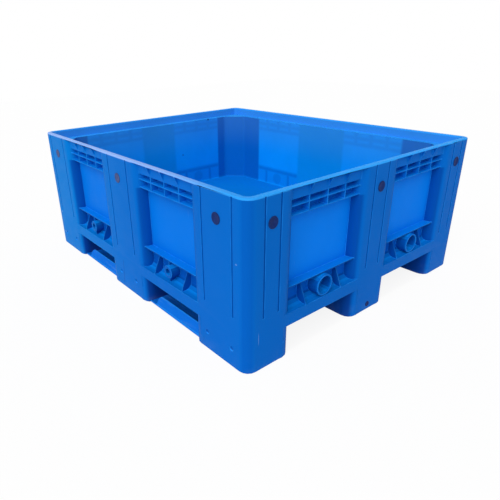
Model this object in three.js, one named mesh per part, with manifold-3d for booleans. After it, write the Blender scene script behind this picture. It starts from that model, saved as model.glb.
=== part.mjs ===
// A shallow rigid pallet box: one moulded tub on nine hollow feet, three runners under the feet
// rows and a round blanking plug near the top of every post.
// Millimetres. X runs along the long sides, Y along the short sides, Z up. The ground is z = 0.
import * as THREE from 'three';
import { mergeVertices } from 'three/addons/utils/BufferGeometryUtils.js';
import Module from 'manifold-3d';

const wasm = await Module();
wasm.setup();

// Overall size
const LENGTH = 1200;
const WIDTH = 1000;
const HEIGHT = 465;

// Skins and ribs of the moulding
const SKIN = 4;
const RIB = 3;
const FIT_GAP = 0.3;

// Plan layout: each side has a corner post, a panel, a middle post, a panel and a corner post
const PANEL_WIDTH = 256;
const CORNER_POST_LONG = 222;
const CORNER_POST_SHORT = 157;
const POST_ROUND = 30;

// Heights of the levels
const FORK_TOP = 90;
const FLOOR_TOP = 128;
const BEAM_TOP = 129;
const SHELF_TOP = 199;
const LEDGE_DROP = 31;
const FLANGE = 4;

// Depths behind the post faces
const SHELF_SETBACK = 10;
const LIP_SETBACK = 12;
const PANEL_DEPTH = 36;

// Inside corners of the load space
const INNER_CHAMFER = 70;
const RIM_ROUND = 3;

// Rib grid under the ledge of each panel
const GRID_DROP_1 = 21;
const GRID_DROP_2 = 45;
const GRID_PITCH = 70;

// Pocket between shelf and beam
const SHELF_SKIN = 4;
const POCKET_RIB_OFFSET = 73;
const POCKET_RIB_SETBACK = 29;
const POCKET_FILLET = 22;
const BOSS_HEIGHT = 162;
const RING_OUTER = 63;
const RING_BORE = 53;
const TUBE_OUTER = 41;
const TUBE_BORE = 22;
const TUBE_SETBACK = 4;
const BOSS_FLOOR = 4;

// Marks on the post faces
const GROOVE_WIDTH = 5;
const GROOVE_DEPTH = 3;
const GROOVE_BOTTOM = 150;
const GROOVE_CORNER_LONG = [53, 168];
const GROOVE_CORNER_SHORT = [55, 106];
const GROOVE_MIDDLE_LONG = 59;
const GROOVE_MIDDLE_SHORT = 30.5;
const DIMPLE_DIAMETER = 14;
const DIMPLE_DEPTH = 2.5;
const DIMPLE_HEIGHT = 55;
const DIMPLE_CORNER = [59, 160];
const DIMPLE_MIDDLE = 52;

// Round plugs
const PLUG_HEAD = 31;
const PLUG_HEAD_THICKNESS = 1.6;
const PLUG_STEM = 20;
const PLUG_STEM_LENGTH = 9;
const PLUG_DROP = 69;
const PLUG_CORNER_LONG = 109;
const PLUG_CORNER_SHORT = 79;
const FOOT_PLUG_HEAD = 17;
const FOOT_PLUG_STEM = 10;
const FOOT_PLUG_STEM_LENGTH = 4;
const FOOT_PLUG_HEIGHT = 20;

// Runners
const RUNNER_SIDE_GAP = 8;
const RUNNER_PLATE = 6;
const RUNNER_LIP_HEIGHT = 34;
const RUNNER_LIP_LEAN = 14;
const RUNNER_LIP_THICKNESS = 4;
const RUNNER_LIP_START = 28;
const RUNNER_LIP_ROUND = 22;

const ROUND_STEPS = 4;
const HOLE_STEPS = 16;
const RING_STEPS = 20;

const HALF_L = LENGTH / 2;
const HALF_W = WIDTH / 2;
const MIDDLE_POST_LONG = LENGTH - 2 * (CORNER_POST_LONG + PANEL_WIDTH);
const MIDDLE_POST_SHORT = WIDTH - 2 * (CORNER_POST_SHORT + PANEL_WIDTH);
const PANEL_CENTRE_LONG = (MIDDLE_POST_LONG + PANEL_WIDTH) / 2;
const PANEL_CENTRE_SHORT = (MIDDLE_POST_SHORT + PANEL_WIDTH) / 2;
const LEDGE_TOP = HEIGHT - LEDGE_DROP;
const GRID_ROW_1 = LEDGE_TOP - GRID_DROP_1;
const GRID_ROW_2 = LEDGE_TOP - GRID_DROP_2;
const PLUG_HEIGHT = HEIGHT - PLUG_DROP;
const FLANGE_UNDER = HEIGHT - FLANGE;
const FLOOR_UNDER = FLOOR_TOP - SKIN;
const LEDGE_UNDER = LEDGE_TOP - SKIN;
const LIP_INNER = LIP_SETBACK + SKIN;
const WALL_INNER = PANEL_DEPTH + SKIN;
const BEYOND = 2;

// A three.js geometry as a closed solid
function solid(geometry) {
  geometry.deleteAttribute('normal');
  geometry.deleteAttribute('uv');
  const welded = mergeVertices(geometry, 1e-4);
  return new wasm.Manifold(
    new wasm.Mesh({
      numProp: 3,
      vertProperties: new Float32Array(welded.attributes.position.array),
      triVerts: new Uint32Array(welded.index.array),
    }),
  );
}

// The geometry of a finished solid
function geometryOf(body) {
  const mesh = body.getMesh();
  const geometry = new THREE.BufferGeometry();
  geometry.setAttribute('position', new THREE.BufferAttribute(new Float32Array(mesh.vertProperties), 3));
  geometry.setIndex(new THREE.BufferAttribute(new Uint32Array(mesh.triVerts), 1));
  const loose = geometry.toNonIndexed();
  loose.computeVertexNormals();
  return loose;
}

const joined = (bodies) => bodies.reduce((all, body) => all.add(body));

// A box between two corners
function box(x0, y0, z0, x1, y1, z1) {
  const geometry = new THREE.BoxGeometry(x1 - x0, y1 - y0, z1 - z0);
  geometry.translate((x0 + x1) / 2, (y0 + y1) / 2, (z0 + z1) / 2);
  return solid(geometry);
}

// A plan outline raised between two heights
function prism(points, z0, z1) {
  const geometry = new THREE.ExtrudeGeometry(new THREE.Shape(points), { depth: z1 - z0, bevelEnabled: false });
  geometry.translate(0, 0, z0);
  return solid(geometry);
}

// Points of a round corner about a centre, from one angle to another
function arc(cx, cy, radius, from, to, steps = ROUND_STEPS) {
  const points = [];
  for (let i = 0; i <= steps; i++) {
    const a = THREE.MathUtils.degToRad(from + ((to - from) * i) / steps);
    points.push(new THREE.Vector2(cx + radius * Math.cos(a), cy + radius * Math.sin(a)));
  }
  return points;
}

function roundedRectangle(x0, y0, x1, y1, radius) {
  return [
    ...arc(x1 - radius, y0 + radius, radius, -90, 0),
    ...arc(x1 - radius, y1 - radius, radius, 0, 90),
    ...arc(x0 + radius, y1 - radius, radius, 90, 180),
    ...arc(x0 + radius, y0 + radius, radius, 180, 270),
  ];
}

// A rectangle about the middle of the box with its four corners cut off
function chamferedRectangle(halfX, halfY, cut) {
  const points = [];
  for (const [sx, sy] of [[1, -1], [1, 1], [-1, 1], [-1, -1]]) {
    const alongX = new THREE.Vector2(sx * (halfX - cut), sy * halfY);
    const alongY = new THREE.Vector2(sx * halfX, sy * (halfY - cut));
    points.push(...(sx * sy < 0 ? [alongX, alongY] : [alongY, alongX]));
  }
  return points;
}

// A cylinder whose axis runs into the wall, between two depths
function bore(diameter, depth0, depth1, x, z, steps = HOLE_STEPS) {
  const geometry = new THREE.CylinderGeometry(diameter / 2, diameter / 2, depth1 - depth0, steps);
  geometry.translate(x, (depth0 + depth1) / 2, z);
  return solid(geometry);
}

// An outline in depth and height, drawn out along the wall about a place
function acrossWall(points, x, thickness) {
  const geometry = new THREE.ExtrudeGeometry(new THREE.Shape(points), { depth: thickness, bevelEnabled: false });
  geometry.rotateX(Math.PI / 2);
  geometry.rotateZ(Math.PI / 2);
  geometry.translate(x - thickness / 2, 0, 0);
  return solid(geometry);
}

const v = (a, b) => new THREE.Vector2(a, b);

// The four sides. A wall feature is made with its face on y = 0 and its depth along +y.
const SIDES = [
  { name: 'front', turn: 0, x: 0, y: -HALF_W, long: true },
  { name: 'right', turn: 90, x: HALF_L, y: 0, long: false },
  { name: 'back', turn: 180, x: 0, y: HALF_W, long: true },
  { name: 'left', turn: -90, x: -HALF_L, y: 0, long: false },
];
const onSide = (body, side) => body.rotate([0, 0, side.turn]).translate([side.x, side.y, 0]);

// What the recess of one panel takes out of the wall, with its grid, shelf, ribs and boss left in
function panelRecess(ring) {
  const half = PANEL_WIDTH / 2;
  const outer = half + POST_ROUND;
  const outline = [
    v(-outer, -BEYOND),
    v(outer, -BEYOND),
    ...arc(outer, POST_ROUND, POST_ROUND, 270, 180),
    v(half, PANEL_DEPTH),
    v(-half, PANEL_DEPTH),
    ...arc(-outer, POST_ROUND, POST_ROUND, 0, -90),
  ];
  const recess = prism(outline, BEAM_TOP, FLANGE_UNDER);

  // Lip wall and rib grid
  const left = [];
  const gridBottom = GRID_ROW_2 - RIB / 2;
  const rows = [
    [gridBottom + RIB, GRID_ROW_1 - RIB / 2],
    [GRID_ROW_1 + RIB / 2, LEDGE_UNDER],
  ];
  const edges = [-outer, -GRID_PITCH, 0, GRID_PITCH, outer];
  let grid = box(-outer, LIP_SETBACK, gridBottom, outer, PANEL_DEPTH + BEYOND, HEIGHT);
  for (const [z0, z1] of rows) {
    for (let i = 0; i < edges.length - 1; i++) {
      const x0 = edges[i] + (i > 0 ? RIB / 2 : 0);
      const x1 = edges[i + 1] - (i < edges.length - 2 ? RIB / 2 : 0);
      grid = grid.subtract(box(x0, 0, z0, x1, PANEL_DEPTH + 2 * BEYOND, z1));
    }
  }
  left.push(grid);

  // Gussets that spread from the ledge out to the rim
  for (const x of [-GRID_PITCH, 0, GRID_PITCH]) {
    const gusset = [
      v(LIP_SETBACK + 1, LEDGE_TOP),
      v(LIP_SETBACK + 1, HEIGHT),
      v(0, HEIGHT),
      v(0, FLANGE_UNDER - 1),
      v(LIP_SETBACK, LEDGE_TOP),
    ];
    left.push(acrossWall(gusset, x, RIB));
  }

  // Shelf
  const shelfUnder = SHELF_TOP - SHELF_SKIN;
  left.push(box(-outer, SHELF_SETBACK, shelfUnder, outer, PANEL_DEPTH + BEYOND, SHELF_TOP));

  // Pocket ribs, with fronts that lean out to the beam
  const pocketRib = [
    v(POCKET_RIB_SETBACK, shelfUnder + 1),
    v(0, BEAM_TOP),
    v(0, BEAM_TOP - BEYOND),
    v(PANEL_DEPTH + BEYOND, BEAM_TOP - BEYOND),
    v(PANEL_DEPTH + BEYOND, shelfUnder + 1),
  ];
  for (const x of [-POCKET_RIB_OFFSET, POCKET_RIB_OFFSET]) left.push(acrossWall(pocketRib, x, RIB));

  // Fillet at the back of the pocket floor
  const filletFront = PANEL_DEPTH - POCKET_FILLET;
  const fillet = [
    v(filletFront, BEAM_TOP - 1),
    v(PANEL_DEPTH + BEYOND, BEAM_TOP - 1),
    v(PANEL_DEPTH + BEYOND, BEAM_TOP + POCKET_FILLET),
    ...arc(filletFront, BEAM_TOP + POCKET_FILLET, POCKET_FILLET, 0, -90, 3),
  ];
  left.push(acrossWall(fillet, 0, 2 * outer));

  // Round boss in the middle of the pocket
  const diameter = ring ? RING_OUTER : TUBE_OUTER;
  const front = ring ? 0 : TUBE_SETBACK;
  const steps = ring ? RING_STEPS : HOLE_STEPS;
  left.push(bore(diameter, front, PANEL_DEPTH + BEYOND, 0, BOSS_HEIGHT, steps));
  if (!ring) {
    left.push(box(-RIB / 2, SHELF_SETBACK, BEAM_TOP - 1, RIB / 2, PANEL_DEPTH + BEYOND, SHELF_TOP));
  }
  return recess.subtract(joined(left)).add(
    bore(ring ? RING_BORE : TUBE_BORE, -BEYOND, PANEL_DEPTH - BOSS_FLOOR, 0, BOSS_HEIGHT, steps),
  );
}

// Bands of the plan: foot, opening, foot, opening, foot
function bands(total, corner) {
  const edges = [-total / 2, -total / 2 + corner, -total / 2 + corner + PANEL_WIDTH];
  const mirrored = edges.map((e) => -e).reverse();
  const all = [...edges, ...mirrored];
  return all.slice(0, -1).map((start, i) => ({ start, end: all[i + 1], foot: i % 2 === 0 }));
}
const BANDS_X = bands(LENGTH, CORNER_POST_LONG);
const BANDS_Y = bands(WIDTH, CORNER_POST_SHORT);
const FEET = [];
for (const bx of BANDS_X.filter((b) => b.foot)) {
  for (const by of BANDS_Y.filter((b) => b.foot)) FEET.push({ x0: bx.start, x1: bx.end, y0: by.start, y1: by.end });
}

// Grooves and plugs of the posts of a side, as places along it
function grooves(side) {
  const half = side.long ? HALF_L : HALF_W;
  const corner = side.long ? GROOVE_CORNER_LONG : GROOVE_CORNER_SHORT;
  const middle = side.long ? GROOVE_MIDDLE_LONG : GROOVE_MIDDLE_SHORT;
  return [...corner.map((c) => c - half), -middle, middle, ...corner.map((c) => half - c)];
}
function plugPlaces(side) {
  const half = side.long ? HALF_L - PLUG_CORNER_LONG : HALF_W - PLUG_CORNER_SHORT;
  return [-half, 0, half];
}

// The tub's outside: a block over the fork openings, standing on nine feet
function outside() {
  const outline = new THREE.Shape(roundedRectangle(-HALF_L, -HALF_W, HALF_L, HALF_W, POST_ROUND));
  const block = new THREE.ExtrudeGeometry(outline, {
    depth: HEIGHT - FORK_TOP - 2 * RIM_ROUND,
    bevelEnabled: true,
    bevelOffset: -RIM_ROUND,
    bevelSize: RIM_ROUND,
    bevelThickness: RIM_ROUND,
    bevelSegments: 2,
  });
  block.translate(0, 0, FORK_TOP + RIM_ROUND);
  const feet = FEET.map((f) => prism(roundedRectangle(f.x0, f.y0, f.x1, f.y1, POST_ROUND), 0, FORK_TOP + SKIN));
  return joined([solid(block), ...feet]);
}

// Load space: chamfered corners below the ledge, rounded ones in the lip above it
function loadSpace() {
  const wallX = HALF_L - WALL_INNER;
  const wallY = HALF_W - WALL_INNER;
  const lipX = HALF_L - LIP_INNER;
  const lipY = HALF_W - LIP_INNER;
  const lower = prism(chamferedRectangle(wallX, wallY, INNER_CHAMFER), FLOOR_TOP, LEDGE_TOP + 1);
  const upper = prism(
    roundedRectangle(-lipX, -lipY, lipX, lipY, POST_ROUND - LIP_INNER),
    LEDGE_TOP,
    HEIGHT + BEYOND,
  );
  return lower.add(upper);
}

// Hollows in the feet and, above the floor, in the posts between skin and inner wall
function footHollows() {
  const chamferBack = INNER_CHAMFER + SKIN * (2 - Math.SQRT2);
  const behindWall = prism(chamferedRectangle(HALF_L - PANEL_DEPTH, HALF_W - PANEL_DEPTH, chamferBack), 0, HEIGHT);
  const lipX = HALF_L - LIP_SETBACK;
  const lipY = HALF_W - LIP_SETBACK;
  const behindLip = prism(roundedRectangle(-lipX, -lipY, lipX, lipY, POST_ROUND - LIP_SETBACK), 0, HEIGHT);
  const inset = (f, z0, z1) =>
    prism(roundedRectangle(f.x0 + SKIN, f.y0 + SKIN, f.x1 - SKIN, f.y1 - SKIN, POST_ROUND - SKIN), z0, z1);
  const hollows = [];
  for (const f of FEET) {
    const midX = (f.x0 + f.x1) / 2;
    const midY = (f.y0 + f.y1) / 2;
    const cross = box(midX - RIB / 2, f.y0, -BEYOND, midX + RIB / 2, f.y1, FLOOR_UNDER).add(
      box(f.x0, midY - RIB / 2, -BEYOND, f.x1, midY + RIB / 2, FLOOR_UNDER),
    );
    hollows.push(inset(f, -BEYOND, FLOOR_UNDER).subtract(cross));
    const onEdge = f.x0 === -HALF_L || f.x1 === HALF_L || f.y0 === -HALF_W || f.y1 === HALF_W;
    if (onEdge) {
      hollows.push(inset(f, FLOOR_UNDER - 1, LEDGE_UNDER).subtract(behindWall));
      hollows.push(inset(f, LEDGE_UNDER - 1, FLANGE_UNDER).subtract(behindLip));
    }
  }
  let all = joined(hollows);
  // Ribs behind the grooves
  const ribs = [];
  for (const side of SIDES) {
    for (const x of grooves(side)) {
      ribs.push(onSide(box(x - RIB / 2, 0, FLOOR_UNDER, x + RIB / 2, PANEL_DEPTH + 1, HEIGHT), side));
    }
  }
  return all.subtract(joined(ribs));
}

// Cells open to below between the ribs of the deck
function deckCells() {
  const split = (band, half) => {
    const start = Math.max(band.start, -half + SKIN);
    const end = Math.min(band.end, half - SKIN);
    const count = band.foot ? 2 : 3;
    const pitch = (end - start) / count;
    return Array.from({ length: count }, (_, i) => [start + i * pitch + RIB / 2, start + (i + 1) * pitch - RIB / 2]);
  };
  const cells = [];
  for (const bx of BANDS_X) {
    for (const by of BANDS_Y) {
      if (bx.foot && by.foot) continue;
      for (const [x0, x1] of split(bx, HALF_L)) {
        for (const [y0, y1] of split(by, HALF_W)) {
          cells.push(box(x0, y0, FORK_TOP - BEYOND, x1, y1, FLOOR_UNDER));
        }
      }
    }
  }
  return joined(cells);
}

// Grooves, dimples and plug holes in the post faces
function faceMarks() {
  const marks = [];
  for (const side of SIDES) {
    for (const x of grooves(side)) {
      const groove = box(x - GROOVE_WIDTH / 2, -BEYOND, GROOVE_BOTTOM, x + GROOVE_WIDTH / 2, GROOVE_DEPTH, FLANGE_UNDER);
      marks.push(onSide(groove, side));
    }
    for (const x of plugPlaces(side)) {
      marks.push(onSide(bore(PLUG_STEM + 2 * FIT_GAP, -BEYOND, SKIN + 1, x, PLUG_HEIGHT), side));
    }
    if (side.long) {
      const places = DIMPLE_CORNER.flatMap((c) => [c - HALF_L, HALF_L - c]).concat([-DIMPLE_MIDDLE, DIMPLE_MIDDLE]);
      for (const x of places) marks.push(onSide(bore(DIMPLE_DIAMETER, -BEYOND, DIMPLE_DEPTH, x, DIMPLE_HEIGHT, 12), side));
    } else {
      marks.push(onSide(bore(FOOT_PLUG_STEM + 2 * FIT_GAP, -BEYOND, SKIN + 1, 0, FOOT_PLUG_HEIGHT, 12), side));
    }
  }
  return joined(marks);
}

// Rows of feet that a runner joins
const ROWS = BANDS_Y.filter((b) => b.foot).map((b, i) => ({
  name: ['runner_front', 'runner_middle', 'runner_back'][i],
  y0: b.start + SKIN + RUNNER_SIDE_GAP,
  y1: b.end - SKIN - RUNNER_SIDE_GAP,
}));
const RUNNER_HALF = HALF_L - SKIN - RUNNER_SIDE_GAP;

// Room for the runner plates inside the feet
function runnerRoom() {
  const rooms = ROWS.map((r) =>
    box(
      -RUNNER_HALF - FIT_GAP,
      r.y0 - FIT_GAP,
      -BEYOND,
      RUNNER_HALF + FIT_GAP,
      r.y1 + FIT_GAP,
      RUNNER_PLATE + FIT_GAP,
    ),
  );
  return joined(rooms);
}

// One runner: a flat plate under the feet, with a leaning lip on both edges in each opening.
// Seen from outside, a lip starts with a round end a little right of one foot and runs up to the next.
function runner(row) {
  const parts = [box(-RUNNER_HALF, row.y0, 0, RUNNER_HALF, row.y1, RUNNER_PLATE)];
  const round = RUNNER_LIP_ROUND;
  const top = RUNNER_LIP_HEIGHT;
  const start = -PANEL_WIDTH / 2 + RUNNER_LIP_START;
  const end = PANEL_WIDTH / 2 - FIT_GAP;
  for (const centre of [-PANEL_CENTRE_LONG, PANEL_CENTRE_LONG]) {
    for (const [edge, inward] of [[row.y0, 1], [row.y1, -1]]) {
      const y = (d) => edge + inward * d;
      const profile = [
        v(y(0), 0),
        v(y(RUNNER_LIP_LEAN), top),
        v(y(RUNNER_LIP_LEAN + RUNNER_LIP_THICKNESS), top),
        v(y(RUNNER_LIP_THICKNESS), 0),
      ];
      const lip = acrossWall(inward > 0 ? profile.reverse() : profile, centre, PANEL_WIDTH);
      const elevation = [v(start, 0), v(end, 0), v(end, top), ...arc(start + round, top - round, round, 90, 180)];
      const gate = new THREE.ExtrudeGeometry(new THREE.Shape(elevation), { depth: LENGTH, bevelEnabled: false });
      gate.rotateX(Math.PI / 2);
      gate.translate(0, LENGTH / 2, 0);
      if (inward < 0) gate.rotateZ(Math.PI);
      gate.translate(centre, 0, 0);
      parts.push(lip.intersect(solid(gate)));
    }
  }
  return joined(parts);
}

// A turned plug: a flat head with a soft edge, and a stem
function plugGeometry(head, headThickness, stem, stemLength) {
  const soft = headThickness / 2;
  const profile = [
    v(0, -stemLength),
    v(stem / 2 - 1, -stemLength),
    v(stem / 2, 1 - stemLength),
    v(stem / 2, 0),
    v(head / 2, 0),
    v(head / 2, soft),
    v(head / 2 - soft, headThickness),
    v(0, headThickness),
  ];
  const geometry = new THREE.LatheGeometry(profile, HOLE_STEPS);
  geometry.rotateX(Math.PI);
  return geometry;
}

const blue = { color: '#0a6fcf', roughness: 0.42, metalness: 0 };
const navy = { color: '#1b2c66', roughness: 0.6, metalness: 0 };
const box3d = new THREE.Group();

function addPiece(name, geometry, finish, parent = box3d) {
  const mesh = new THREE.Mesh(geometry, new THREE.MeshStandardMaterial(finish));
  mesh.name = name;
  parent.add(mesh);
  return mesh;
}

// The tub
const cuts = [loadSpace(), footHollows(), deckCells(), runnerRoom()];
for (const side of SIDES) {
  const centre = side.long ? PANEL_CENTRE_LONG : PANEL_CENTRE_SHORT;
  for (const x of [-centre, centre]) cuts.push(onSide(panelRecess(!side.long).translate([x, 0, 0]), side));
}
let tub = outside();
for (const cut of cuts) tub = tub.subtract(cut);
addPiece('tub', geometryOf(tub.subtract(faceMarks())), blue);

// The runners
for (const row of ROWS) addPiece(row.name, geometryOf(runner(row)), blue);

// The plugs, heads a fit gap off the post faces
for (const side of SIDES) {
  const wall = new THREE.Group();
  wall.position.set(side.x, side.y, 0);
  wall.rotation.z = THREE.MathUtils.degToRad(side.turn);
  box3d.add(wall);
  plugPlaces(side).forEach((x, i) => {
    const geometry = plugGeometry(PLUG_HEAD, PLUG_HEAD_THICKNESS, PLUG_STEM, PLUG_STEM_LENGTH);
    const plug = addPiece(`plug_${side.name}_${i + 1}`, geometry, navy, wall);
    plug.position.set(x, -FIT_GAP, PLUG_HEIGHT);
  });
  if (!side.long) {
    const geometry = plugGeometry(FOOT_PLUG_HEAD, PLUG_HEAD_THICKNESS, FOOT_PLUG_STEM, FOOT_PLUG_STEM_LENGTH);
    const plug = addPiece(`foot_plug_${side.name}`, geometry, navy, wall);
    plug.position.set(0, -FIT_GAP, FOOT_PLUG_HEIGHT);
  }
}

export default box3d;
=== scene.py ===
# Looks of a shallow blue pallet box: a moulded tub on nine feet, three runners and round plugs.
# Metres. X runs along the long sides, Y along the short sides, Z up, ground at z = 0.
import math

import bmesh
import bpy
from mathutils import Matrix, Vector


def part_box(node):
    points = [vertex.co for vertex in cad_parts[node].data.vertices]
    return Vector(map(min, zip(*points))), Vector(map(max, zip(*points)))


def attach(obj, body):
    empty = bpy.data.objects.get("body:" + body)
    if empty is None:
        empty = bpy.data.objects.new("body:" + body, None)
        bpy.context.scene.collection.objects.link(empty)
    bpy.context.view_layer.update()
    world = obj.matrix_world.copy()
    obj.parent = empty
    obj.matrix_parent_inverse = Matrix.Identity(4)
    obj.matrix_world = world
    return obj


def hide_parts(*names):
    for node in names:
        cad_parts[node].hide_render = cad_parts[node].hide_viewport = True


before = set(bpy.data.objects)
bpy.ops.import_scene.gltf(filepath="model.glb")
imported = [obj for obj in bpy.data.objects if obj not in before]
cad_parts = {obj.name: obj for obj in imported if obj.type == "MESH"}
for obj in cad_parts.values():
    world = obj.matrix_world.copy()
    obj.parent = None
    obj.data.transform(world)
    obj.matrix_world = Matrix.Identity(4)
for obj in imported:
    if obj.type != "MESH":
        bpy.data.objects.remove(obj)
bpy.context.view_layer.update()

# Sizes of the box that the looks line up with
HALF_L = 0.600
HALF_W = 0.500
FRONT = -HALF_W
HEIGHT = 0.465
LEDGE_TOP = 0.434
SHELF = 0.197
FLOOR_TOP = 0.128
BEAM_TOP = 0.129
PANEL_HALF = 0.128
PANEL_DEPTH = 0.036
PANEL_CENTRE_LONG = 0.250
PANEL_CENTRE_SHORT = 0.214
RECESS_HALF = 0.158
CORNER_ROUND = 0.030
CORNER_POST_LONG = 0.222
CORNER_POST_SHORT = 0.157
WALL_ZONE = 0.045
INNER_SKIN = 0.040
INNER_CHAMFER = 0.070
LIP_DEPTH = 0.015
GRID_TOP_ROW = 0.413
GRID_LOW_ROW = 0.389
GRID_PITCH = 0.070
POCKET_RIB = 0.073
BOSS_HEIGHT = 0.162
BOSS_RADIUS = 0.0315
GROOVE_DEPTH = 0.003
GROOVE_FOOT = 0.149
DIMPLE_FOOT = 0.044
DIMPLE_TOP = 0.066

# Softness of the moulded edges, and how near two points count as one place
FLOOR_FILLET = 0.009
TOE_ROUND = 0.0020
EDGE_ROUND = 0.0010
RUNNER_ROUND = 0.0015
NEAR = 2e-4

# How strongly the plastics reflect: worn polyethylene is nearly matt
SHEEN = 0.02
PLUG_SHEEN = 0.06
PLASTIC_IOR = 1.5

# Repeats of each pattern in a metre. Real mould grain is about 0.1 mm across, too fine to show, so
# it is drawn at 1 mm. The waves of a big wall are 70 mm long, patches of wear 45 mm, mottling
# 200 mm on the tub and 110 mm on the runners, and the plugs' chalky spots 7 mm.
GRAIN = 900.0
WAVES = 14.0
PATCHES = 22.0
MOTTLING = 5.0
RUNNER_MOTTLING = 9.0
CHALK = 140.0
# Scratches are about 4 mm wide and 110 to 140 mm long, and the runners' rubs 11 mm and 170 mm
SCRATCHES_ALONG = (9.0, 9.0, 260.0)
SCRATCHES_UPRIGHT = (240.0, 240.0, 7.0)
RUNNER_RUBS = (6.0, 90.0, 90.0)

# Colours of the blue polyethylene, as they look on screen
POST_BLUE = "#0264c0"
# Painted sheen at the far end of the front, seen at a grazing angle
GRAZING_SHEEN_BLUE = "#048ad2"
# Painted shade on the outer round corners
CORNER_SHADE_BLUE = "#0252ae"
# Painted shade in the recesses, and of the ribs seen from inside through the wall
RECESS_AND_RIB_SHADE_BLUE = "#00469e"
# Painted shade on the backs of the pockets under the shelves
POCKET_BACK_SHADE_BLUE = "#0260cc"
# Painted light through the thin panel walls, brighter on the short sides
PANEL_GLOW_BLUE = "#0272da"
SHORT_SIDE_GLOW_BLUE = "#047cec"
# Painted light on the upward faces in the recesses
SHELF_TOP_LIT_BLUE = "#0585e6"
# Painted shade in the tunnels under the deck, and along the step on the middle foot
TUNNEL_SHADE_BLUE = "#023688"
# Painted shade in the grooves and in the dimples' upper parts, painted highlight in their lower
# parts
GROOVE_SHADE_BLUE = "#0250a8"
DIMPLE_HIGHLIGHT_BLUE = "#268cea"
# Inner walls painted lighter by light through them, the thin panels most, the corner posts with
# painted shade
INNER_LIT_BLUE = "#028ce0"
INNER_CORNER_SHADE_BLUE = "#0264bc"
INNER_PANEL_GLOW_BLUE = "#0496f6"
# Painted sheen on the inner walls towards the rim
UPPER_WALL_SHEEN_BLUE = "#5c98d6"
# Painted light on the load floor
FLOOR_LIT_BLUE = "#047bd4"
# Painted sheen on the wall above the ledge
LIP_SHEEN_BLUE = "#3a98ec"
# Painted highlight on the rim and the ledge, and on the rounded edges wear together with a painted
# highlight
HIGHLIGHT_AND_WEAR_BLUE = "#34a8ff"
# Painted reflection of the sky on the front rim
SKY_REFLECTION_BLUE = "#9cbcf8"
MOTTLE_BLUE = "#0354a6"
RUNNER_BLUE = "#0868d0"
RUNNER_MOTTLE_BLUE = "#045cb6"
RUNNER_RUB = "#6ea6dc"

# Colours of wear and dirt
PALE_SCUFF = "#a9c6e6"
DUST = "#7f9bc0"
DARK_SPECK = "#12264e"

# Marks of use: where, radii, strength and colour
MARKS = (
    ((0.600, -0.461, 0.097), (0.004, 0.0007, 0.020), 0.35, PALE_SCUFF),
    ((0.562, -0.500, 0.301), (0.004, 0.0040, 0.0022), 0.25, PALE_SCUFF),
    ((-0.571, -0.500, 0.296), (0.005, 0.0040, 0.0020), 0.6, PALE_SCUFF),
    ((-0.555, -0.500, 0.144), (0.005, 0.0040, 0.0020), 0.6, PALE_SCUFF),
    ((-0.554, -0.500, 0.054), (0.005, 0.0040, 0.0026), 0.6, PALE_SCUFF),
    ((-0.560, 0.127, 0.281), (0.004, 0.0035, 0.0035), 0.8, DARK_SPECK),
    ((-0.560, 0.286, 0.432), (0.006, 0.0050, 0.0060), 0.8, DARK_SPECK),
)


def colour(code):
    """A hex colour as it looks on screen, turned into the linear values that shaders take."""
    values = [int(code[i : i + 2], 16) / 255 for i in (1, 3, 5)]
    return (*[v / 12.92 if v <= 0.04045 else ((v + 0.055) / 1.055) ** 2.4 for v in values], 1.0)


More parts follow.
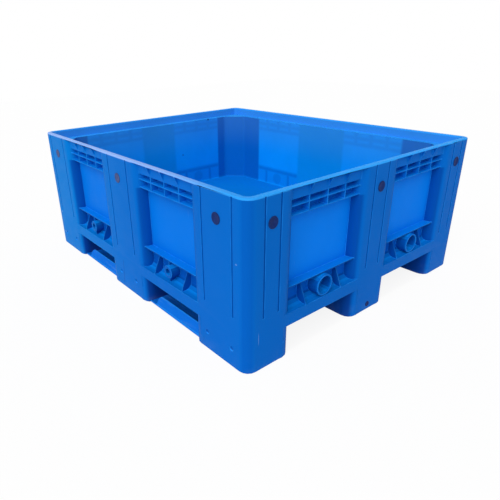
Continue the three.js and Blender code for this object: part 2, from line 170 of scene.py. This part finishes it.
class Nodes:
    """Adds nodes to a tree, each with its settings and links in one call."""

    def __init__(self, tree):
        self.tree = tree
        tree.nodes.clear()

    def add(self, kind, inputs=None, **settings):
        made = self.tree.nodes.new(kind)
        for name, value in settings.items():
            setattr(made, name, value)
        for key, value in (inputs or {}).items():
            if isinstance(value, bpy.types.NodeSocket):
                self.tree.links.new(value, made.inputs[key])
            else:
                made.inputs[key].default_value = value
        return made

    def calc(self, operation, *values):
        return self.add("ShaderNodeMath", dict(enumerate(values)), operation=operation).outputs[0]

    def most(self, first, *others):
        for other in others:
            first = self.calc("MAXIMUM", first, other)
        return first

    def times(self, first, *others):
        for other in others:
            first = self.calc("MULTIPLY", first, other)
        return first

    def ramp(self, value, low, high, start=0.0, end=1.0):
        """A soft step from start to end while value goes from low to high."""
        inputs = {"Value": value, "From Min": low, "From Max": high, "To Min": start, "To Max": end}
        return self.add("ShaderNodeMapRange", inputs, interpolation_type="SMOOTHSTEP").outputs[0]

    def fall(self, value, low, high, start=1.0):
        """A soft step from start down to 0."""
        return self.ramp(value, low, high, start, 0.0)

    def window(self, value, low, high, soft):
        """1 between low and high, with soft ends."""
        rise = self.ramp(value, low - soft, low + soft)
        return self.times(rise, self.fall(value, high - soft, high + soft))

    def line(self, value, place, half, soft):
        """1 on a place, fading out past half its width."""
        away = self.calc("ABSOLUTE", self.calc("SUBTRACT", value, place))
        return self.fall(away, half, half + soft)

    def blend(self, factor, first, second):
        """A mix of two colours, given as hex codes or sockets."""
        made = self.add("ShaderNodeMix", {0: factor}, data_type="RGBA")
        for place, value in ((6, first), (7, second)):
            if isinstance(value, str):
                made.inputs[place].default_value = colour(value)
            else:
                self.tree.links.new(value, made.inputs[place])
        return made.outputs[2]

    def noise(self, where, scale, detail, rough):
        inputs = {"Vector": where, "Scale": scale, "Detail": detail, "Roughness": rough}
        return self.add("ShaderNodeTexNoise", inputs).outputs[0]

    def streaks(self, where, scale, rough):
        """Noise drawn out along one direction."""
        drawn_out = self.add("ShaderNodeMapping", {"Vector": where, "Scale": scale}).outputs[0]
        return self.noise(drawn_out, 1.0, 3.0, rough)

    def own_place(self):
        """The point's place in the piece's own mesh, which is its place in the box."""
        return self.add("ShaderNodeTexCoord").outputs["Object"]

    def edge_mark(self):
        """1 on the small roundings that softened() makes."""
        return self.add("ShaderNodeAttribute", attribute_name="edge").outputs["Fac"]

    def seen_rays(self):
        """1 for rays that show the background: to the camera, in gloss and through clear things."""
        rays = self.add("ShaderNodeLightPath").outputs
        return self.most(rays["Is Camera Ray"], rays["Is Glossy Ray"], rays["Is Transmission Ray"])


def new_material(name):
    material = bpy.data.materials.new(name)
    material.use_nodes = True
    return material, Nodes(material.node_tree)


def plastic(s, base, roughness, normal, sheen):
    """A principled plastic on the material's output."""
    inputs = {
        "Base Color": base,
        "Roughness": roughness,
        "Normal": normal,
        "Specular IOR Level": sheen,
        "IOR": PLASTIC_IOR,
    }
    surface = s.add("ShaderNodeBsdfPrincipled", inputs)
    s.add("ShaderNodeOutputMaterial", {"Surface": surface.outputs[0]})


def mould_normal(s, where, fine, wavy):
    """Mould grain over the slow unevenness of a moulded wall, each as deep as given."""
    grain = s.noise(where, GRAIN, 2.0, 0.6)
    waves = s.noise(where, WAVES, 1.0, 0.4)
    uneven = s.add("ShaderNodeBump", {"Height": waves, "Strength": 1.0, "Distance": wavy})
    inputs = {"Height": grain, "Strength": 1.0, "Distance": fine, "Normal": uneven.outputs[0]}
    return s.add("ShaderNodeBump", inputs).outputs[0]


class TubPlace:
    """Where a point of the tub lies, as values by which its colour is chosen."""

    def __init__(self, s):
        self.where = s.own_place()
        self.x, self.y, self.z = s.add("ShaderNodeSeparateXYZ", {"Vector": self.where}).outputs
        facing = s.add("ShaderNodeNewGeometry").outputs["True Normal"]
        self.up = s.add("ShaderNodeSeparateXYZ", {"Vector": facing}).outputs[2]
        self.ax = s.calc("ABSOLUTE", self.x)
        self.ay = s.calc("ABSOLUTE", self.y)

        # How deep behind the outer faces, and how far from the round corners
        deep_long = s.calc("SUBTRACT", HALF_W, self.ay)
        deep_short = s.calc("SUBTRACT", HALF_L, self.ax)
        self.deep = s.calc("MINIMUM", deep_long, deep_short)
        self.corner_away = s.calc("MAXIMUM", deep_long, deep_short)
        self.flat_part = s.ramp(self.corner_away, CORNER_ROUND + 0.001, CORNER_ROUND + 0.004)
        self.inside = s.ramp(self.deep, INNER_SKIN - 0.003, INNER_SKIN - 0.001)
        self.wall_height = s.window(self.z, BEAM_TOP, LEDGE_TOP, 0.004)

        # On which wall, and how far from the middle of its panel
        on_long = s.fall(deep_long, WALL_ZONE, WALL_ZONE + 0.005)
        self.on_short = s.fall(deep_short, WALL_ZONE, WALL_ZONE + 0.005)
        off_long = s.calc("ABSOLUTE", s.calc("SUBTRACT", self.ax, PANEL_CENTRE_LONG))
        off_short = s.calc("ABSOLUTE", s.calc("SUBTRACT", self.ay, PANEL_CENTRE_SHORT))
        panel_edge = (PANEL_HALF - 0.008, PANEL_HALF + 0.010)
        in_long = s.times(on_long, s.fall(off_long, *panel_edge))
        in_short = s.times(self.on_short, s.fall(off_short, *panel_edge))
        self.walls = ((off_long, in_long), (off_short, in_short))
        self.panels = s.most(in_long, in_short)

        # Panels with the sloping sides of their recesses, and the posts between them
        recess_edge = (RECESS_HALF - 0.004, RECESS_HALF)
        wide_long = s.times(on_long, s.fall(off_long, *recess_edge))
        wide_short = s.times(self.on_short, s.fall(off_short, *recess_edge))
        self.recess = s.times(
            s.most(
                s.times(wide_long, s.ramp(deep_long, 0.0005, 0.008)),
                s.times(wide_short, s.ramp(deep_short, 0.0005, 0.008)),
            ),
            s.window(self.z, BEAM_TOP, HEIGHT - 0.006, 0.002),
        )
        on_post = s.times(s.fall(wide_long, 0.0, 1.0), s.fall(wide_short, 0.0, 1.0), self.flat_part)
        cut = s.window(self.deep, 0.0009, GROOVE_DEPTH + 0.0015, 0.0006)
        above_foot = s.ramp(self.z, GROOVE_FOOT - 0.003, GROOVE_FOOT + 0.003)
        self.groove = s.times(on_post, cut, above_foot)
        dent = s.window(self.deep, 0.0005, 0.0035, 0.0003)
        self.dimple = s.times(on_post, dent, s.window(self.z, DIMPLE_FOOT, DIMPLE_TOP, 0.001))


def outside_colour(s, p):
    """Posts, with painted shade where the wall is set back, on the round corners, in the tunnels
    and in the grooves, painted light through the panels and on the shelves, a painted highlight and
    shade in the dimples, and a painted sheen at the far end of the front.
    """
    # Painted sheen at the far end of the front, where it is seen at a grazing angle
    front = s.fall(p.y, FRONT + 0.038, FRONT + 0.042)
    base = s.blend(s.times(front, s.fall(p.x, -HALF_L, 0.30, 0.4)), POST_BLUE, GRAZING_SHEEN_BLUE)
    # Painted shade on the outer round corners
    shaded_bend = s.fall(p.corner_away, CORNER_ROUND - 0.002, CORNER_ROUND + 0.001, 0.6)
    base = s.blend(s.times(s.ramp(p.deep, 0.0, 0.003), shaded_bend), base, CORNER_SHADE_BLUE)

    # Painted shade on the steep sides of the recesses, much weaker above the grid's lower row
    steep = s.fall(p.up, 0.4, 0.8)
    below_grid = s.ramp(p.z, GRID_LOW_ROW - 0.005, GRID_LOW_ROW - 0.001, 0.9, 0.05)
    base = s.blend(s.times(p.recess, steep, below_grid), base, RECESS_AND_RIB_SHADE_BLUE)
    # Painted shade on the pocket backs, lighter than on the recess sides, most so on the short
    # sides
    panel_face = s.ramp(p.deep, PANEL_DEPTH - 0.002, PANEL_DEPTH - 0.0005)
    pocket_back = s.times(p.panels, s.window(p.z, BEAM_TOP, SHELF, 0.003), panel_face)
    base = s.blend(s.times(pocket_back, s.ramp(p.on_short, 0.0, 1.0, 0.4, 1.0)), base, POCKET_BACK_SHADE_BLUE)
    # Painted light through the thin wall in the grid's cells
    above_grid = s.ramp(p.z, GRID_LOW_ROW - 0.003, GRID_LOW_ROW)
    cells = s.times(p.panels, above_grid, s.ramp(p.deep, 0.004, 0.020), 0.7)
    base = s.blend(cells, base, PANEL_GLOW_BLUE)
    # Painted light on the upward faces in the recesses
    lit_shelves = s.times(p.recess, s.ramp(p.up, 0.6, 0.9), 0.8)
    base = s.blend(lit_shelves, base, SHELF_TOP_LIT_BLUE)
    # Painted light through the thin panels, brighter on the short sides
    field = s.times(p.panels, s.window(p.z, SHELF, GRID_LOW_ROW, 0.004), panel_face)
    base = s.blend(field, base, s.blend(p.on_short, PANEL_GLOW_BLUE, SHORT_SIDE_GLOW_BLUE))

    # Painted shade in the tunnels under the deck
    low = s.fall(p.z, FLOOR_TOP - 0.006, FLOOR_TOP - 0.002)
    base = s.blend(s.times(low, s.ramp(p.deep, 0.0005, 0.012), p.flat_part), base, TUNNEL_SHADE_BLUE)
    # Painted shade in the grooves; in the dimples painted shade above and a painted highlight below
    base = s.blend(p.groove, base, GROOVE_SHADE_BLUE)
    lit_foot = s.ramp(p.z, DIMPLE_FOOT + 0.003, DIMPLE_FOOT + 0.010)
    return s.blend(p.dimple, base, s.blend(lit_foot, DIMPLE_HIGHLIGHT_BLUE, GROOVE_SHADE_BLUE))


def rib_shadow(s, p):
    """Shadows of the outside ribs, shelf and bosses, seen from inside through the thin wall."""
    blur = 0.020
    behind_pocket = s.fall(p.z, SHELF - 0.006, SHELF + 0.004, 0.45)
    shadows = [s.times(p.panels, behind_pocket)]
    for off, wall in p.walls:
        uprights = s.most(s.line(off, 0.0, 0.0, blur), s.line(off, GRID_PITCH, 0.0, blur))
        upper = s.times(uprights, s.ramp(p.z, GRID_LOW_ROW - 0.012, GRID_LOW_ROW + 0.006))
        rows = s.most(*[s.line(p.z, row, 0.0, 0.014) for row in (GRID_TOP_ROW, GRID_LOW_ROW)])
        grid = s.times(s.most(upper, rows), 0.4)
        shelf = s.line(p.z, SHELF, 0.0, blur)
        below_shelf = s.fall(p.z, SHELF - 0.006, SHELF + 0.006)
        pocket_ribs = s.times(s.line(off, POCKET_RIB, 0.0, blur), below_shelf)
        rise = s.calc("SUBTRACT", p.z, BOSS_HEIGHT)
        away = s.calc("SQRT", s.calc("ADD", s.times(off, off), s.times(rise, rise)))
        boss = s.fall(away, BOSS_RADIUS - 0.012, BOSS_RADIUS + 0.010, 0.8)
        shadows.append(s.times(s.most(grid, shelf, pocket_ribs, boss), wall))
    return s.times(s.most(*shadows), p.inside, p.wall_height)


def inside_colour(s, p):
    """Inner walls painted lighter by light through them, most on the thin panels, with painted
    shade at the corner posts and of the ribs showing through, and a painted sheen towards the rim.
    """
    post_x = HALF_L - CORNER_POST_LONG
    post_y = HALF_W - CORNER_POST_SHORT
    # Painted shade on the inner walls of the corner posts
    thick = s.times(
        s.ramp(p.ax, post_x - 0.004, post_x + 0.004),
        s.ramp(p.ay, post_y - 0.004, post_y + 0.004),
    )
    wall = s.blend(thick, INNER_LIT_BLUE, INNER_CORNER_SHADE_BLUE)
    # Painted light through the thin panels
    wall = s.blend(p.panels, wall, INNER_PANEL_GLOW_BLUE)
    wall = s.blend(s.times(rib_shadow(s, p), 0.5), wall, RECESS_AND_RIB_SHADE_BLUE)
    # Painted sheen, paler and greyer towards the rim
    return s.blend(s.ramp(p.z, 0.26, LEDGE_TOP, 0.0, 0.22), wall, UPPER_WALL_SHEEN_BLUE)


def top_colours(s, p, base):
    """The load floor with painted light, the wall above the ledge with a painted sheen, and the
    ledge and rim, which face the light, with a painted highlight and a painted reflection of the
    sky on the front rim.
    """
    # Painted light on the load floor
    floor = s.times(p.inside, s.line(p.z, FLOOR_TOP, 0.001, 0.002), s.ramp(p.up, 0.5, 0.9))
    base = s.blend(floor, base, FLOOR_LIT_BLUE)
    # Painted sheen on the wall above the ledge
    lip = s.times(
        s.ramp(p.deep, LIP_DEPTH - 0.0005, LIP_DEPTH + 0.0005),
        s.window(p.z, LEDGE_TOP, HEIGHT, 0.002),
        0.85,
    )
    base = s.blend(lip, base, LIP_SHEEN_BLUE)
    # Painted highlight on the rim and the ledge's top, and a painted reflection of the sky on the
    # front rim
    rim = s.ramp(p.z, HEIGHT - 0.0060, HEIGHT - 0.0035)
    ledge = s.times(s.line(p.z, LEDGE_TOP, 0.001, 0.001), s.ramp(p.up, 0.8, 0.95), 0.6)
    sky_reflecting_front_rim = s.times(s.fall(p.y, FRONT + 0.014, FRONT + 0.022), s.fall(p.x, 0.20, 0.56))
    return s.blend(s.times(s.most(rim, ledge), 0.85), base, s.blend(sky_reflecting_front_rim, HIGHLIGHT_AND_WEAR_BLUE, SKY_REFLECTION_BLUE))


def step_line(s, p):
    """The faint line down the front's middle foot, where its cover meets the post above: a painted
    shade line at that small step.
    """
    slant = s.calc("ADD", -0.0377, s.times(p.z, 0.103))
    front = s.fall(p.y, FRONT + 0.0008, FRONT + 0.0012)
    return s.times(front, s.line(p.x, slant, 0.0008, 0.0012), s.window(p.z, 0.017, 0.104, 0.003))


def mark_of_use(s, where, spot, radii, strength):
    offset = s.add("ShaderNodeVectorMath", {0: where, 1: spot}, operation="SUBTRACT").outputs[0]
    scaled = s.add("ShaderNodeVectorMath", {0: offset, 1: radii}, operation="DIVIDE").outputs[0]
    away = s.add("ShaderNodeVectorMath", {0: scaled}, operation="LENGTH").outputs["Value"]
    return s.fall(away, 0.6, 1.1, strength)


def blue_moulding():
    """Injection moulded polyethylene. Thin walls let light through and are painted brighter than
    the thick posts, hollows get painted shade, edges are rubbed pale and carry a painted highlight,
    and the skin has grain, fine scratches and a few marks."""
    material, s = new_material("blue_polyethylene_moulding")
    p = TubPlace(s)
    base = outside_colour(s, p)
    base = s.blend(s.times(p.inside, p.wall_height), base, inside_colour(s, p))
    base = top_colours(s, p, base)

    patch = s.noise(p.where, PATCHES, 2.0, 0.6)
    # Rounded edges: rubbed pale in patches, with a painted highlight
    rubbed_and_highlit = s.times(s.ramp(patch, 0.35, 0.65, 0.15, 0.6), s.fall(p.groove, 0.0, 0.5))
    base = s.blend(s.times(s.edge_mark(), rubbed_and_highlit, 0.6), base, HIGHLIGHT_AND_WEAR_BLUE)
    mottle = s.noise(p.where, MOTTLING, 3.0, 0.55)
    base = s.blend(s.ramp(mottle, 0.25, 0.75, 0.0, 0.12), base, MOTTLE_BLUE)
    # Painted shade line at the step on the front's middle foot
    base = s.blend(s.times(step_line(s, p), 0.6), base, TUNNEL_SHADE_BLUE)

    along = s.ramp(s.streaks(p.where, SCRATCHES_ALONG, 0.7), 0.70, 0.76)
    upright = s.ramp(s.streaks(p.where, SCRATCHES_UPRIGHT, 0.7), 0.70, 0.76)
    scratch = s.times(s.most(along, upright), s.ramp(patch, 0.5, 0.7))
    base = s.blend(s.times(scratch, 0.16), base, PALE_SCUFF)
    dust = s.times(s.fall(p.z, 0.0, 0.05), s.ramp(patch, 0.4, 0.8), 0.12)
    base = s.blend(dust, base, DUST)
    for spot, radii, strength, tint in MARKS:
        base = s.blend(mark_of_use(s, p.where, spot, radii, strength), base, tint)

    roughness = s.calc("ADD", s.ramp(patch, 0.3, 0.7, 0.40, 0.50), s.times(scratch, 0.2))
    plastic(s, base, roughness, mould_normal(s, p.where, 0.00004, 0.0006), SHEEN)
    return material


def blue_runner():
    """The runners' moulded polyethylene, a little paler than the tub and rubbed lengthways."""
    material, s = new_material("blue_polyethylene_runner")
    where = s.own_place()
    mottle = s.noise(where, RUNNER_MOTTLING, 3.0, 0.55)
    base = s.blend(s.ramp(mottle, 0.3, 0.7, 0.0, 0.25), RUNNER_BLUE, RUNNER_MOTTLE_BLUE)
    rubs = s.streaks(where, RUNNER_RUBS, 0.65)
    base = s.blend(s.ramp(rubs, 0.56, 0.72, 0.0, 0.22), base, RUNNER_RUB)
    # Rounded edges: a little wear and a painted highlight
    base = s.blend(s.times(s.edge_mark(), 0.3), base, HIGHLIGHT_AND_WEAR_BLUE)
    roughness = s.ramp(mottle, 0.3, 0.7, 0.42, 0.55)
    plastic(s, base, roughness, mould_normal(s, where, 0.00004, 0.0004), SHEEN)
    return material


def navy_plug(name, face, chalky):
    """A plug's moulded navy plastic, dull and chalky in spots where the sun has bleached it."""
    material, s = new_material(name)
    where = s.own_place()
    chalk = s.noise(where, CHALK, 3.0, 0.6)
    base = s.blend(s.ramp(chalk, 0.35, 0.75, 0.0, 0.5), face, chalky)
    roughness = s.ramp(chalk, 0.3, 0.7, 0.5, 0.68)
    plastic(s, base, roughness, mould_normal(s, where, 0.00006, 0.0002), PLUG_SHEEN)
    return material


def rounded(bm, edges, width, segments):
    """Rounds edges of a mesh and gives the new faces."""
    made = bmesh.ops.bevel(
        bm,
        geom=edges,
        offset=width,
        segments=segments,
        profile=0.5,
        affect="EDGES",
        clamp_overlap=False,
        loop_slide=False,
    )
    return made["faces"]


def softened(source, name, finish, width, fillets=None, shown=None):
    """A copy of a moulded piece with rounded edges. The small roundings carry an edge mark."""
    mesh = bpy.data.meshes.new(name)
    bm = bmesh.new()
    bm.from_mesh(source.data)
    layer = bm.faces.layers.float.new("edge")
    bmesh.ops.remove_doubles(bm, verts=bm.verts, dist=NEAR / 2)
    bmesh.ops.dissolve_limit(bm, angle_limit=math.radians(1.0), verts=bm.verts, edges=bm.edges)
    many_sided = [f for f in bm.faces if len(f.verts) > 4]
    bmesh.ops.triangulate(bm, faces=many_sided, ngon_method="BEAUTY")
    if fillets:
        rounded(bm, [e for e in bm.edges if fillets(e)], FLOOR_FILLET, 4)
        rounded(bm, [e for e in bm.edges if toe(e)], TOE_ROUND, 3)
    sharp = [e for e in bm.edges if e.is_manifold and e.calc_face_angle(0) > math.radians(35)]
    for face in rounded(bm, [e for e in sharp if shown is None or shown(e)], width, 2):
        face[layer] = 1.0
    for face in bm.faces:
        face.smooth = True

    # Roundings that meet at a corner can reach past it, so every point is kept in the solid's box
    low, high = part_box(source.name)
    for vert in bm.verts:
        vert.co = [min(max(at, least), most) for at, least, most in zip(vert.co, low, high)]
    bm.to_mesh(mesh)
    bm.free()
    mesh.set_sharp_from_angle(angle=math.radians(40))
    mesh.materials.append(finish)
    piece = bpy.data.objects.new(name, mesh)
    bpy.context.scene.collection.objects.link(piece)
    piece.modifiers.new("flat_faces", "WEIGHTED_NORMAL").keep_sharp = True
    return piece


def inner_corner(edge):
    """Whether an edge is where the walls of the load space meet the floor or each other."""
    a, b = (v.co for v in edge.verts)
    wall_x = HALF_L - INNER_SKIN
    wall_y = HALF_W - INNER_SKIN

    def on_wall(p):
        ax, ay = abs(p.x), abs(p.y)
        flat = max(ax - wall_x, ay - wall_y)
        cut = ax + ay - (wall_x + wall_y - INNER_CHAMFER)
        reached = flat > -NEAR or abs(cut) < 2 * NEAR
        return ax < wall_x + NEAR and ay < wall_y + NEAR and reached

    if not (on_wall(a) and on_wall(b) and on_wall((a + b) / 2)):
        return False
    on_floor = abs(a.z - FLOOR_TOP) < NEAR and abs(b.z - FLOOR_TOP) < NEAR
    upright = max(abs(a.x - b.x), abs(a.y - b.y)) < NEAR / 2 and abs(a.z - b.z) > 0.1
    return on_floor or upright


def outer_depth(p):
    """How far a point is inside the footprint, whose corners are round."""
    out_x = abs(p.x) - (HALF_L - CORNER_ROUND)
    out_y = abs(p.y) - (HALF_W - CORNER_ROUND)
    if out_x > 0 and out_y > 0:
        return CORNER_ROUND - math.hypot(out_x, out_y)
    return min(HALF_L - abs(p.x), HALF_W - abs(p.y))


def toe(edge):
    """Whether an edge is the outer edge of a foot's underside."""
    ends = [v.co for v in edge.verts]
    return all(abs(p.z) < NEAR and -NEAR / 2 < outer_depth(p) < NEAR for p in ends)


def in_sight(edge):
    """Whether an edge is outside, in a panel or in the load space, not hidden in a hollow."""
    a, b = (v.co for v in edge.verts)
    ax, ay, z = abs(a.x + b.x) / 2, abs(a.y + b.y) / 2, (a.z + b.z) / 2
    deep_long = HALF_W - ay
    deep_short = HALF_L - ax
    depth = min(deep_short, deep_long)
    if depth < GROOVE_DEPTH + 0.0005:
        return True
    if z < FLOOR_TOP - 0.0005:
        return False
    off = abs(ax - PANEL_CENTRE_LONG) if deep_long < deep_short else abs(ay - PANEL_CENTRE_SHORT)
    if off < RECESS_HALF + 0.0005 and z > BEAM_TOP - 0.0005:
        return True
    if z > LEDGE_TOP - 0.0035:
        return depth > LIP_DEPTH - 0.0005
    past_wall = INNER_SKIN - depth
    past_chamfer = ax + ay - (HALF_L + HALF_W - 2 * INNER_SKIN - INNER_CHAMFER)
    return past_wall < 0.001 and past_chamfer < 0.001


def plug_tree():
    """The nodes that turn a plug of any size: a stem with a lead-in, then a head with a soft edge
    and a shallow dish. It is turned upright, its head's seat at the origin, then laid and moved."""
    tree = bpy.data.node_groups.new("turned_plug", "GeometryNodeTree")
    for name, kind in (
        ("Head", "NodeSocketFloat"),
        ("Thickness", "NodeSocketFloat"),
        ("Stem", "NodeSocketFloat"),
        ("Length", "NodeSocketFloat"),
        ("Turn", "NodeSocketVector"),
        ("Seat", "NodeSocketVector"),
        ("Finish", "NodeSocketMaterial"),
    ):
        tree.interface.new_socket(name, in_out="INPUT", socket_type=kind)
    tree.interface.new_socket("Geometry", in_out="OUTPUT", socket_type="NodeSocketGeometry")
    g = Nodes(tree)
    given = g.add("NodeGroupInput").outputs
    head = g.times(given["Head"], 0.5)
    stem = g.times(given["Stem"], 0.5)
    thick = given["Thickness"]
    bottom = g.times(given["Length"], -1.0)

    # Radius and height of each ring, bottom to top
    lead_in = 0.001
    soft_edge = 0.0003
    dish = 0.0005
    rings = (
        (g.calc("SUBTRACT", stem, lead_in), bottom),
        (stem, g.calc("ADD", bottom, lead_in)),
        (stem, 0.0),
        (g.calc("SUBTRACT", head, soft_edge), 0.0),
        (head, soft_edge),
        (head, g.times(thick, 0.45)),
        (g.calc("MULTIPLY_ADD", thick, -0.2, head), g.times(thick, 0.8)),
        (g.calc("MULTIPLY_ADD", thick, -0.6, head), thick),
        (g.calc("SUBTRACT", head, 0.0030), thick),
        (g.calc("SUBTRACT", head, 0.0036), g.calc("SUBTRACT", thick, dish)),
    )
    radius, height = rings[0]
    disc = {"Vertices": 48, "Radius": radius}
    body = g.add("GeometryNodeMeshCircle", disc, fill_type="NGON").outputs[0]
    underside = g.add("GeometryNodeFlipFaces", {"Mesh": body}).outputs[0]
    top = True
    for wider, higher in rings[1:]:
        rise = {
            "Mesh": body,
            "Selection": top,
            "Offset": (0, 0, 1),
            "Offset Scale": g.calc("SUBTRACT", higher, height),
            "Individual": False,
        }
        raised = g.add("GeometryNodeExtrudeMesh", rise, mode="FACES").outputs
        top = raised["Top"]
        growth = g.calc("DIVIDE", wider, radius)
        spread = {"Geometry": raised["Mesh"], "Selection": top, "Scale": growth}
        body = g.add("GeometryNodeScaleElements", spread).outputs[0]
        radius, height = wider, higher
    both = g.add("GeometryNodeJoinGeometry", {0: underside})
    tree.links.new(body, both.inputs[0])
    closing = {"Geometry": both.outputs[0], "Distance": 0.00001}
    closed = g.add("GeometryNodeMergeByDistance", closing).outputs[0]
    down = g.add("ShaderNodeCombineXYZ", {"Z": bottom}).outputs[0]
    seated = g.add("GeometryNodeTransform", {"Geometry": closed, "Translation": down}).outputs[0]
    put = {"Geometry": seated, "Translation": given["Seat"], "Rotation": given["Turn"]}
    placed = g.add("GeometryNodeTransform", put).outputs[0]
    real = g.add("GeometryNodeRealizeInstances", {"Geometry": placed}).outputs[0]
    finish = {"Geometry": real, "Material": given["Finish"]}
    g.add("NodeGroupOutput", {0: g.add("GeometryNodeSetMaterial", finish).outputs[0]})
    return tree


def grown_by(tree, name, values):
    """A plain mesh object that a tree of geometry nodes makes from these values."""
    piece = bpy.data.objects.new(name, bpy.data.meshes.new(name))
    modifier = piece.modifiers.new("made", "NODES")
    modifier.node_group = tree
    for socket in tree.interface.items_tree:
        if socket.in_out == "INPUT":
            modifier[socket.identifier] = values[socket.name]
    bpy.context.scene.collection.objects.link(piece)
    evaluated = piece.evaluated_get(bpy.context.evaluated_depsgraph_get())
    mesh = bpy.data.meshes.new_from_object(evaluated)
    piece.modifiers.clear()
    if mesh.materials[0] is None:
        mesh.materials.pop(index=0)
    mesh.shade_smooth()
    mesh.set_sharp_from_angle(angle=math.radians(50))
    piece.data = mesh
    return piece


def place_piece(piece, nodes):
    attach(piece, "root")
    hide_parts(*nodes)


# The tub and the runners
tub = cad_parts["tub"]
shell = softened(tub, "tub_shell", blue_moulding(), EDGE_ROUND, inner_corner, in_sight)
place_piece(shell, ["tub"])
runner_finish = blue_runner()
for row in ("front", "middle", "back"):
    node = f"runner_{row}"
    bar = softened(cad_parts[node], f"{node}_bar", runner_finish, RUNNER_ROUND)
    place_piece(bar, [node])

# The plugs. Those at the far end of the front get a paler copy of the navy, a painted sheen where
# they are seen at a grazing angle.
PLUG_SIZE = {"Head": 0.031, "Thickness": 0.0016, "Stem": 0.020, "Length": 0.009}
FOOT_PLUG_SIZE = {"Head": 0.017, "Thickness": 0.0016, "Stem": 0.010, "Length": 0.004}
SIDE_TURNS = {"front": 0, "right": 90, "back": 180, "left": -90}
GRAZING_SHEEN_PLUGS = ("plug_front_1", "plug_front_2")
deep_plug = navy_plug("navy_plug_deep", "#14275e", "#243c76")
# A paler copy of the navy: painted sheen
grazing_sheen_plug = navy_plug("navy_plug_grazing_sheen", "#3c4876", "#646f98")
plug_nodes = plug_tree()
for node in sorted(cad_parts):
    if "plug" not in node:
        continue
    low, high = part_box(node)
    turn = math.radians(next(angle for side, angle in SIDE_TURNS.items() if side in node))
    outward = Vector((math.sin(turn), -math.cos(turn), 0))
    size = FOOT_PLUG_SIZE if node.startswith("foot") else PLUG_SIZE
    values = {
        **size,
        "Turn": (math.radians(90), 0, turn),
        "Seat": (low + high) / 2 + outward * (size["Length"] - size["Thickness"]) / 2,
        "Finish": grazing_sheen_plug if node in GRAZING_SHEEN_PLUGS else deep_plug,
    }
    place_piece(grown_by(plug_nodes, f"{node}_cap", values), [node])


def studio():
    """Pale floor, white surroundings and soft daylight, mostly from the front and above."""
    white = (1, 1, 1, 1)
    world = bpy.data.worlds.new("soft_daylight")
    bpy.context.scene.world = world
    world.use_nodes = True
    s = Nodes(world.node_tree)
    soft = s.add("ShaderNodeBackground", {"Color": white, "Strength": 0.50}).outputs[0]
    backdrop = s.add("ShaderNodeBackground", {"Color": white, "Strength": 1.0}).outputs[0]
    mixed = s.add("ShaderNodeMixShader", {0: s.seen_rays(), 1: soft, 2: backdrop}).outputs[0]
    s.add("ShaderNodeOutputWorld", {"Surface": mixed})

    # The floor lies just under the feet. It looks a little whiter outside the footprint than under
    # the box, and keeps part of its own shading, so that the shadow shows.
    bpy.ops.mesh.primitive_plane_add(size=14, location=(0, 0, -0.0003))
    floor = bpy.context.object
    floor.name = "studio_floor"
    material, s = new_material("pale_floor")
    x, y, _ = s.add("ShaderNodeSeparateXYZ", {"Vector": s.own_place()}).outputs
    out_x = s.ramp(s.calc("ABSOLUTE", x), HALF_L - 0.02, HALF_L)
    out_y = s.ramp(s.calc("ABSOLUTE", y), HALF_W - 0.02, HALF_W)
    white_share = s.ramp(s.most(out_x, out_y), 0.0, 1.0, 0.88, 0.93)
    matt = s.add("ShaderNodeBsdfDiffuse", {"Color": (0.92, 0.92, 0.92, 1)}).outputs[0]
    glow = s.add("ShaderNodeEmission", {"Color": white, "Strength": 1.0}).outputs[0]
    share = s.times(s.seen_rays(), white_share)
    mixed = s.add("ShaderNodeMixShader", {0: share, 1: matt, 2: glow}).outputs[0]
    s.add("ShaderNodeOutputMaterial", {"Surface": mixed})
    floor.data.materials.append(material)

    light = bpy.data.lights.new("window_light", "SUN")
    light.energy = 2.3
    light.angle = math.radians(50)
    lamp = bpy.data.objects.new("window_light", light)
    bpy.context.scene.collection.objects.link(lamp)
    comes_from = Vector((0.34, -0.68, 0.65))
    lamp.rotation_euler = comes_from.to_track_quat("Z", "Y").to_euler()


def camera():
    """The photograph's view, found from the box's corners, posts and openings."""
    eye = Vector((1.28569, -1.11791, 0.76510))
    right = Vector((0.624108, 0.780963, -0.024199))
    look = Vector((-0.719223, 0.562115, -0.408345))
    up = right.cross(look)
    data = bpy.data.cameras.new("camera")
    data.sensor_width = 36
    data.lens = 33.0316
    data.shift_x = 0.0646
    data.clip_start = 0.05
    data.clip_end = 50
    made = bpy.data.objects.new("camera", data)
    bpy.context.scene.collection.objects.link(made)
    turn = Matrix((right, up, -look)).transposed()
    made.matrix_world = Matrix.Translation(eye) @ turn.to_4x4()
    bpy.context.scene.camera = made


studio()
camera()
bpy.context.scene.view_settings.view_transform = "Standard"
